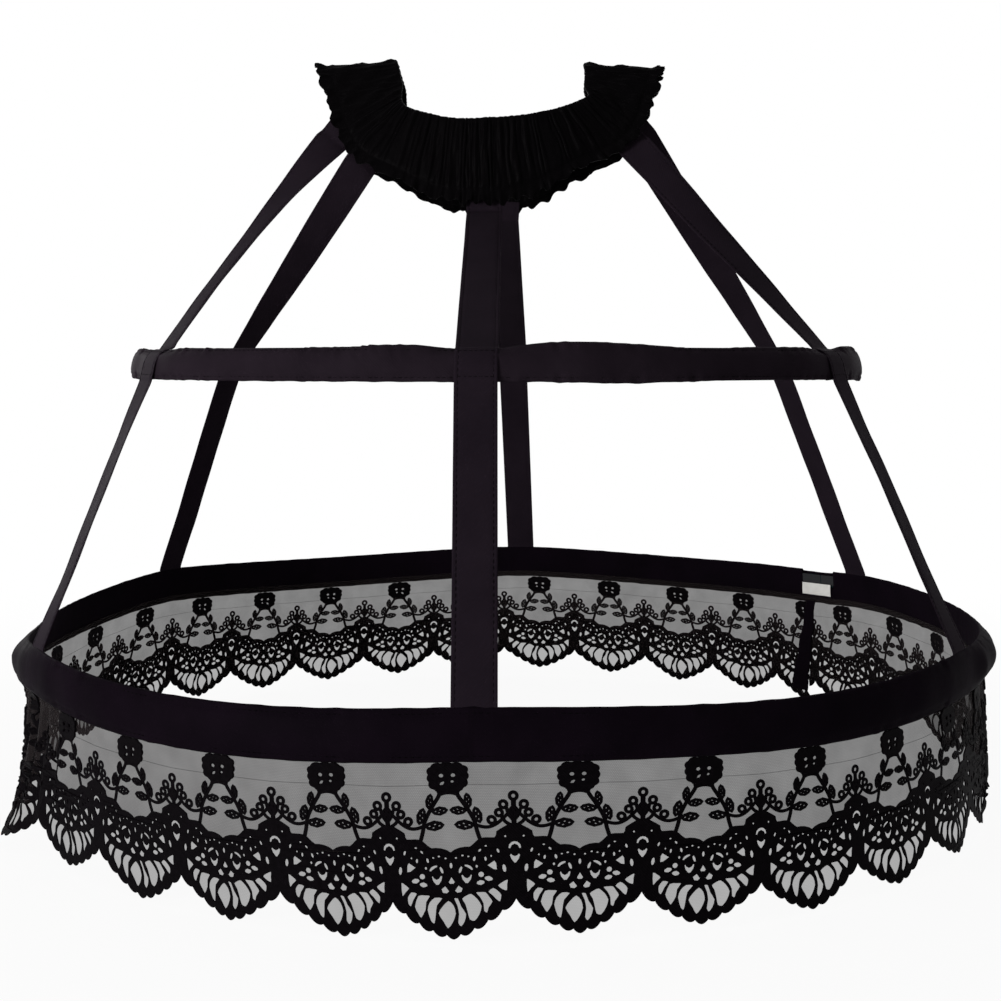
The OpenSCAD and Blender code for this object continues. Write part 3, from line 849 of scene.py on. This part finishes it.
def hem_band():
    """Embroidered border of one scallop: its outline, then the holes in it."""
    half_top = [(0, 92.6), (4, 89.8), (9, 88), (14, 87.4), (18.5, 87.6), (22, 85), (26, 81),
                (29.5, 78.6), (34, 78.2), (39, 78.4), (42.6, 78.4), (44, 76), (44.6, 72), (48, 69.6),
                (54, 66), (CUSP, 63.6)]
    upper = mirror(half_top[1:])[::-1] + half_top
    # The eyelets and heart of the medallion at the cusp are halved by the repeat's edge
    notch = [(CUSP, 82), (58.2, 82.6), (55.4, 85.4), (54.6, 89.4), (56.8, 90.4), (58.4, 86.8),
             (CUSP, 85.6), (CUSP, 97.4), (59, 96.6), (57.2, 94.6), (55.8, 96.8), (57.2, 101), (60, 105),
             (CUSP, 105.2)]
    outline = upper + notch + scallop_edge()[::-1] + mirror(notch)[::-1]
    # Round knots with a pair of eyelets above and a heart below
    knots = lobes(14.2, 112.2, 7.4, 3.6) + [mirror(h) for h in lobes(14.6, 111.8, 7.4, 3.6)]
    knots += [heart(14.6, 119.8, 10.6, 9.6), mirror(heart(14, 120, 10.6, 10))]
    ovals = ((50.6, 110, 3.6, 7.6, 8, -8), (28.6, 115.8, 5.2, 5.4, 8), (22.6, 99.6, 2.8, 5, 7, 14),
             (33.2, 99.8, 2.6, 4.6, 7, -6), (45.2, 91.8, 2.6, 4.8, 7, -20), (17, 97, 2.6, 2.2, 6),
             (11.4, 95.8, 2.8, 2.4, 6), (5, 98, 2.6, 2.4, 6), (28, 91, 2.4, 4, 6, 38),
             (33.8, 86.6, 2.8, 2.2, 6), (38.6, 97, 2.2, 2.6, 6), (52.4, 77, 2.4, 2.6, 6),
             (24.6, 107.4, 2.6, 3.4, 6))
    holes = both_sides(
        [(35.4, 106.6), (41.4, 102.4), (43, 105), (43.4, 110.8), (40.4, 110.4)],
        [(3.2, 131.6), (6.4, 126.8), (10, 129.6), (8.8, 133), (5.4, 133.6)],
        leaf(35.6, 120.2, 7.4, 5, 12), leaf(27.8, 124.2, 7.2, 5, -10), *(oval(*o) for o in ovals))
    holes += [[(0, 117.6), (2.8, 122.6), (1.6, 124.2), (-1.6, 124.2), (-2.8, 122.6)],
              oval(0, 105.6, 3, 5.6, 8)]
    return [outline] + [wider(h, 1.24) for h in holes] + knots + fan_slots()


def flower():
    """Squarish flower head with twelve shallow lobes, then the holes in it."""
    petals = []
    for t in round_steps(72):
        c, s = math.cos(t), math.sin(t)
        square = (abs(c) ** 3.2 + abs(s) ** 3.2) ** (-1 / 3.2)
        lobe = 1 - 0.1 * (1 - abs(math.cos(6 * t + 0.3)) ** 0.8)
        taper = 1 - 0.06 * s
        petals.append((19.4 * square * lobe * taper * c, 15.2 + 14.8 * square * lobe * s))
    return [petals, oval(-6.2, 13.4, 6.2, 5.6, 8), oval(5.2, 13.2, 6.2, 5.6, 8),
            leaf(-5.6, 21.4, 7.4, 4.6, -40), oval(4.2, 19.6, 5, 4.2, 7, -10)]


def sprays():
    """Leaves, stems and loops between the flowers, in groups that don't overlap themselves.

    Each group comes with its half thickness, rounded edge and distance out.
    """
    leaves = []
    for x, y, size, wide, tilt in ((18.4, 39.4, 14.8, 7.2, 80), (27, 54.6, 17, 8.6, 74),
                                   (8.8, 49.4, 15.4, 8.4, 6), (14.4, 64.4, 18.6, 9.8, 4)):
        leaves += both_sides(leaf(x, y, size, wide, tilt))
        # Slits between the stitches of a leaf show the net
        slits = np.array([(-0.26, 0.04), (-0.04, -0.14), (0.06, 0.2), (0.26, 0)]) * (size, wide)
        for at in turned(*slits.T, x, y, tilt):
            leaves += both_sides(oval(*at, size * 0.2, wide * 0.27, 6, tilt + 20))
    stems = both_sides(bar([(7, 28), (9.4, 34.6), (14, 42), (19.4, 51), (24, 61), (26, 70.5), (29, 81)],
                           3.5))
    arms = both_sides(bar([(24, 64.4), (31, 66.8), (37, 67.2), (43, 65), (49, 60.4), (56, 53)], 3))
    loops = []
    for x, y, r in ((0, 35.2, 4.9), (9.6, 44, 4.7), (13.8, 52.6, 4.5), (20.8, 60, 4.7)):
        for side in ((1, -1) if x else (1,)):
            loops.append(oval(CUSP + side * x, y, 2 * r, 2.15 * r, 12, side * x * 1.5))
            loops.append(oval(CUSP + side * x, y, 2 * r - 5.2, 2.15 * r - 5.4, 7, side * x * 1.5))
    trunk = [bar([(CUSP, 39), (CUSP, 54), (CUSP, 70)], 4.4)]
    arch = [bar([(-10, 32.4), (-5, 30.6), (0, 30), (5, 30.6), (10, 32.4)], 5)]
    buds = past_cusp(bar([(60, 60), (56, 54), (54, 46)], 3), bar([(59, 66), (53, 62), (48.6, 55)], 3))
    seeds = [oval(CUSP, 52, 10, 13, 12), oval(59, 50, 2, 2.6, 6), oval(63, 50.4, 2, 2.6, 6),
             oval(CUSP, 55, 2, 2.4, 6)]
    line = [bar([(-CUSP, 24), (0, 23), (CUSP, 24)], 0.2)]
    return [(leaves, 0.35, 0.6, 0.55), (stems, 0.2, 0.3, 0.35), (loops, 0.3, 0.4, 0.5),
            (arms, 0.2, 0.3, 0.4), (trunk, 0.2, 0.3, 0.35), (buds, 0.2, 0.3, 0.4),
            (seeds, 0.3, 0.4, 0.55), (line, 0.1, 0.05, 0.2), (arch, 0.2, 0.3, 0.3)]


def flat_mesh(shapes, thick, edge):
    """Fills flat outlines as a curve and returns its points (drawn units) and faces."""
    curve = bpy.data.curves.new("drawn", "CURVE")
    curve.dimensions = "2D"
    curve.fill_mode = "BOTH"
    curve.extrude = thick
    curve.bevel_depth = edge
    curve.bevel_resolution = 0
    for shape in shapes:
        line = curve.splines.new("POLY")
        line.points.add(len(shape) - 1)
        for p, (x, y) in zip(line.points, shape):
            p.co = (x, -y, 0, 1)
        line.use_cyclic_u = True
    obj = bpy.data.objects.new("drawn", curve)
    bpy.context.collection.objects.link(obj)
    bpy.ops.object.select_all(action="DESELECT")
    obj.select_set(True)
    bpy.context.view_layer.objects.active = obj
    bpy.ops.object.convert(target="MESH")
    mesh = obj.data
    pts = np.array([v.co[:] for v in mesh.vertices])
    faces = [tuple(f.vertices) for f in mesh.polygons]
    bpy.data.objects.remove(obj)
    bpy.data.meshes.remove(mesh)
    return pts, faces


def wrap_round(name, groups):
    """Copies drawn groups (shapes, half thickness, edge, distance out) to every scallop."""
    layers = [(*flat_mesh(shapes, thick, edge), out) for shapes, thick, edge, out in groups]
    verts, faces, uvs = [], [], []
    total = 0
    for i in range(-1, SCALLOPS):
        cut = (LACE_SEAM - flower_at(i)) / LACE_TURN * DRAWN_W
        if i == SCALLOPS - 1:
            cut -= 360 / LACE_TURN * DRAWN_W
        for pts, polys, out in layers:
            x = pts[:, 0]
            keep = np.ones(len(x), bool)
            # The first and last repeats end at the seam
            if i == -1:
                keep = x < cut
                x = np.minimum(x, cut)
            elif i == SCALLOPS - 1:
                keep = x > cut
                x = np.maximum(x, cut)
            whole = [f for f in polys if keep[list(f)].any()]
            used = np.unique([k for f in whole for k in f]) if whole else np.array([], int)
            place = np.full(len(x), -1)
            place[used] = np.arange(len(used)) + total
            verts.append(hang(x[used], -pts[used, 1], flower_at(i), out + pts[used, 2] * 0.62))
            uvs.append(np.stack([x[used] * MM_ACROSS - i * REPEAT_MM, pts[used, 1] * MM_DOWN], 1))
            faces += [tuple(int(place[k]) for k in f) for f in whole]
            total += len(used)
    return make(name, np.concatenate(verts), faces, np.concatenate(uvs), EMBROIDERY, smooth=False)


def lace():
    n = 640
    angle = LACE_SEAM - 360 * np.arange(n) / n
    i = np.clip(np.round((LACE_SEAM - angle) / LACE_TURN - 0.6), -1, SCALLOPS - 1)
    x = (angle - flower_at(i)) / LACE_TURN * DRAWN_W
    # Net from behind the casing down to the border, and finer net behind the border's cut-outs
    head, net_rows, fine_rows = -11.4, 15, 10
    border = np.interp(np.abs(x), [0, 20, 28, 42, 46, CUSP], [96, 92, 83, 82, 76, 68])
    foot = 172.4 - 36 * (np.abs(x) / CUSP) ** 1.5
    heights = [head + (border - head) * j / net_rows for j in range(net_rows + 1)]
    heights += [border + (foot - border) * j / fine_rows for j in range(1, fine_rows + 1)]
    rows = len(heights)
    verts = np.stack([hang(x, y, flower_at(i), -0.2) for y in heights], 1)
    uvs = np.stack([np.stack([np.radians(angle) * LOWER["r"], -y * MM_DOWN], 1) for y in heights], 1)
    ground = make("lace_net", verts, grid_faces(n, rows, True, False, flip=True), uvs, NET, "lace_trim")
    ground.data.materials.append(FINE_NET)
    for k, face in enumerate(ground.data.polygons):
        face.material_index = int(k % (rows - 1) >= net_rows)
    band = wrap_round("lace_scallops", [(hem_band(), 0.35, 0.45, 0.55)])
    sprig = wrap_round("lace_flowers", [(flower(), 0.5, 0.8, 0.6)] + sprays())


# Sewing: one stitch, copied along seams
def stitch_shape():
    """A short tapered thread lying along x, with unit length and width."""
    sides = 5
    verts = [(x, 0.5 * r * math.cos(a), 0.5 * r * math.sin(a))
             for x, r in ((-0.5, 0.5), (0, 1.0), (0.5, 0.5)) for a in round_steps(sides)]
    faces = grid_faces(3, sides, False, True, flip=True)
    faces.append(tuple(range(sides)))
    faces.append(tuple(reversed(range(2 * sides, 3 * sides))))
    return np.array(verts), faces


def sew(name, seams):
    """Stitches at (place, along, out) rows, each a seam with its stitch length and width in mm."""
    base, polys = stitch_shape()
    verts, faces, uvs = [], [], []
    total = 0
    for place, along, out, size, wide in seams:
        side = np.cross(out, along)
        for p, a, s, o in zip(place, along, side, out):
            verts.append(p + base[:, :1] * size * a + base[:, 1:2] * wide * s + base[:, 2:] * wide * o)
            uvs.append(base[:, :2] * [size, wide] + [total * 0.37 % 500, total * 0.11 % 90])
            faces += [tuple(total + k for k in f) for f in polys]
            total += len(base)
    obj = make(name, np.concatenate(verts), faces, np.concatenate(uvs), SEWING)


def ring_seam(hoop, k, pitch, size, wide):
    n = int(2 * math.pi * hoop["r"] / pitch)
    a = round_steps(n)
    v = float(outer_v(k)) - 0.62
    place = on_wall(a, hoop, np.full(n, k * hoop["half"]), np.full(n, v))
    along = np.stack([np.cos(a), np.sin(a), np.zeros(n)], -1)
    out = out_at(a) * math.cos(hoop["lean"]) + np.array([0, 0, math.sin(hoop["lean"])])
    keep = near_strap(a, 3.2) == 0 if hoop is UPPER else np.ones(n, bool)
    return place[keep], along[keep], out[keep], size, wide


def strap_seams(p, w, out, length):
    """Two rows along a strap's grooves, and two across it on the upper casing."""
    marks = np.arange(6, length[-1] - 6, 4.4)
    at, across, along = (np.stack([np.interp(marks, length, line[:, c]) for c in range(3)], 1)
                         for line in (p, w, unit(np.gradient(p, axis=0))))
    across = unit(across)
    along = unit(along)
    up = unit(np.cross(along, across))
    seams = [(at + across * side * 0.82 * STRAP_W / 2 + up * 0.3, along, up, 2.7, 0.45)
             for side in (-1, 1)]
    x = np.arange(-11, 11.1, 3.6)[:, None]
    for u in (8.5, -8.5):
        i = int(np.argmin(np.abs(p[:, 2] + UPPER["drop"] - u)))
        row = np.ones_like(x)
        seams.append((p[i] + w[i] * x + out[i] * 0.42, w[i] * row, out[i] * row, 2.5, 0.5))
    return seams


def label():
    """Blank woven label, sewn on behind the casing's lower edge, with its ends turned a little."""
    n, m = 30, 15
    wide, tall = 38.0, 12.0
    foot = -8.6
    x, u = np.meshgrid(np.linspace(-wide / 2, wide / 2, n), np.linspace(foot, foot + tall, m),
                       indexing="ij")
    angle = np.radians(JOIN + 0.7) + x / LOWER["r"]
    curl = 0.5 * (np.abs(x) / (wide / 2)) ** 4 + 0.25 * np.sin(x * 0.5 + u * 0.3)
    verts = on_wall(angle, LOWER, u, -FACE_IN - 0.2 - np.maximum(curl, 0))
    obj = make("blank_label", verts, grid_faces(n, m, False, False, flip=True), np.stack([x, u], -1),
               LABEL, "care_label")
    thicken(obj, 0.35)


def seam_tape():
    """Satin tape over the lace's own upright seam, following the lace's waves."""
    n, m = 9, 60
    x, y = np.meshgrid(np.linspace(-6, 6, n), np.linspace(-3, 162, m), indexing="ij")
    # It widens downwards and leans to the right
    drawn = x / MM_ACROSS * (0.95 + 0.75 * y / 150) + 1.2 * np.sin(y * 0.11) - 9 + 26 * y / 150
    verts = hang(drawn, y, LACE_SEAM, -0.75 - 0.25 * np.sin(y * 0.3) ** 2)
    obj = make("lace_seam_satin", verts, grid_faces(n, m, False, False),
               np.stack([x, y * MM_DOWN], -1), CASING_SATIN, "lace_seam_tape")
    thicken(obj, 0.5)


# Camera at the photograph's viewing angle
def photo_camera():
    turn, tilt = math.radians(2.4), math.radians(5.19)
    away, aside, up = 1317, -3.5, -163.5
    aim = np.array([15, 0])
    right = np.array([math.cos(turn), math.sin(turn)])
    ahead = np.array([-math.sin(turn), math.cos(turn)])
    spot = aim - away * ahead + aside * right
    lens = bpy.data.cameras.new("photo_camera")
    lens.sensor_width = 36
    lens.lens = 55.09
    lens.clip_start = 0.05
    lens.clip_end = 30
    camera = bpy.data.objects.new("photo_camera", lens)
    camera.location = (spot[0] * MM, spot[1] * MM, up * MM)
    camera.rotation_euler = (math.pi / 2 - tilt, 0, turn)
    bpy.context.collection.objects.link(camera)
    bpy.context.scene.camera = camera


# Floor and light
def seen_plainly(tree):
    """1 for rays of the camera, of a gloss or through the net, otherwise 0."""
    path = add(tree, "ShaderNodeLightPath")
    seen = path.outputs["Is Camera Ray"]
    for ray in ("Is Glossy Ray", "Is Transmission Ray"):
        seen = add(tree, "ShaderNodeMath", {"operation": "MAXIMUM"},
                   links={0: seen, 1: path.outputs[ray]}).outputs[0]
    return seen


def pale_floor():
    low = cad_box[0][2] - 0.004
    bpy.ops.object.select_all(action="DESELECT")
    bpy.ops.mesh.primitive_plane_add(size=14, location=(0, 0, low))
    floor = bpy.context.object
    floor.name = "pale_floor"
    mat, tree, skin = start_material("pale_studio_floor")
    speck = add(tree, "ShaderNodeTexNoise", sockets={"Scale": 3.0, "Detail": 2.0})
    wire(tree, skin, {"Roughness": 0.9},
         {"Base Color": blend(tree, speck.outputs[0], "#f6f6f5", "#f1f1f0")})
    # Seen directly or in a gloss the floor is mostly plain white, and still takes the shadow
    away = add(tree, "ShaderNodeVectorMath", {"operation": "LENGTH"},
               links={0: add(tree, "ShaderNodeTexCoord").outputs["Object"]})
    fade = add(tree, "ShaderNodeMapRange", {"interpolation_type": "SMOOTHSTEP"},
               {"From Min": 0.35, "From Max": 1.3, "To Min": 0.93, "To Max": 1.0},
               {"Value": away.outputs["Value"]})
    share = add(tree, "ShaderNodeMath", {"operation": "MULTIPLY"},
                links={0: seen_plainly(tree), 1: fade.outputs[0]})
    plain = add(tree, "ShaderNodeEmission", sockets={"Color": (1, 1, 1, 1), "Strength": 1.0})
    both = add(tree, "ShaderNodeMixShader",
               links={0: share.outputs[0], 1: skin.outputs[0], 2: plain.outputs[0]})
    surface = next(n for n in tree.nodes if n.type == "OUTPUT_MATERIAL")
    tree.links.new(both.outputs[0], surface.inputs[0])
    floor.data.materials.append(mat)


def studio_world():
    world = bpy.data.worlds.new("studio")
    bpy.context.scene.world = world
    world.use_nodes = True
    tree = world.node_tree
    tree.nodes.clear()
    soft, white = (add(tree, "ShaderNodeBackground", sockets={"Color": (1, 1, 1, 1), "Strength": s})
                   for s in (0.28, 1.0))
    mixed = add(tree, "ShaderNodeMixShader",
                links={0: seen_plainly(tree), 1: soft.outputs[0], 2: white.outputs[0]})
    add(tree, "ShaderNodeOutputWorld", links={"Surface": mixed.outputs[0]})


def softbox(name, place, aim, size, power):
    data = bpy.data.lights.new(name, "AREA")
    data.shape = "DISK"
    data.size = size
    data.energy = power
    obj = bpy.data.objects.new(name, data)
    obj.location = place
    d = unit(np.array(aim) - np.array(place))
    obj.rotation_euler = (math.acos(-d[2]), 0, math.atan2(d[1], d[0]) - math.pi / 2)
    bpy.context.collection.objects.link(obj)


photo_camera()

# The object's pieces
waistband()
casing("upper_casing_satin", "upper_hoop_casing", UPPER,
       [0.95, 0.75, 0.62, 0.502, 0.3, 0.1, -0.1, -0.3, -0.502, -0.7, -0.95], (-0.502, 0.502), 21, 13)
casing("lower_casing_satin", "lower_hoop_casing", LOWER,
       [0.95, 0.83, 0.692, 0.55, 0.4, 0.2, -0.032, -0.25, -0.5, -0.75, -0.95], (-0.032, 1), 31, 18)
lower_bone()
lace()
label()
seam_tape()
sew("strap_stitching", [seam for name in STRAPS for seam in strap_seams(*strap(name))])
sew("casing_stitching", [ring_seam(hoop, k, 4.2, 2.8, 0.45)
                         for hoop in (UPPER, LOWER) for k in (-SEAM_K, SEAM_K)])
for node, material in (("upper_hoop_bone", BONE), ("upper_hoop_connector", SLEEVE),
                       ("lower_hoop_connector", SLEEVE)):
    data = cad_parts[node].data
    data.materials.clear()
    data.materials.append(material)

pale_floor()
studio_world()
softbox("top_softbox", (-0.2, -0.3, 1.7), (0, 0, -0.3), 1.8, 5)
softbox("front_softbox", (-2.0, -2.0, -0.2), (0, 0, -0.3), 1.0, 64)
softbox("left_softbox", (-1.7, 1.5, 0.2), (-0.3, -0.1, -0.3), 1.1, 9)

bpy.context.scene.view_settings.view_transform = "Standard"
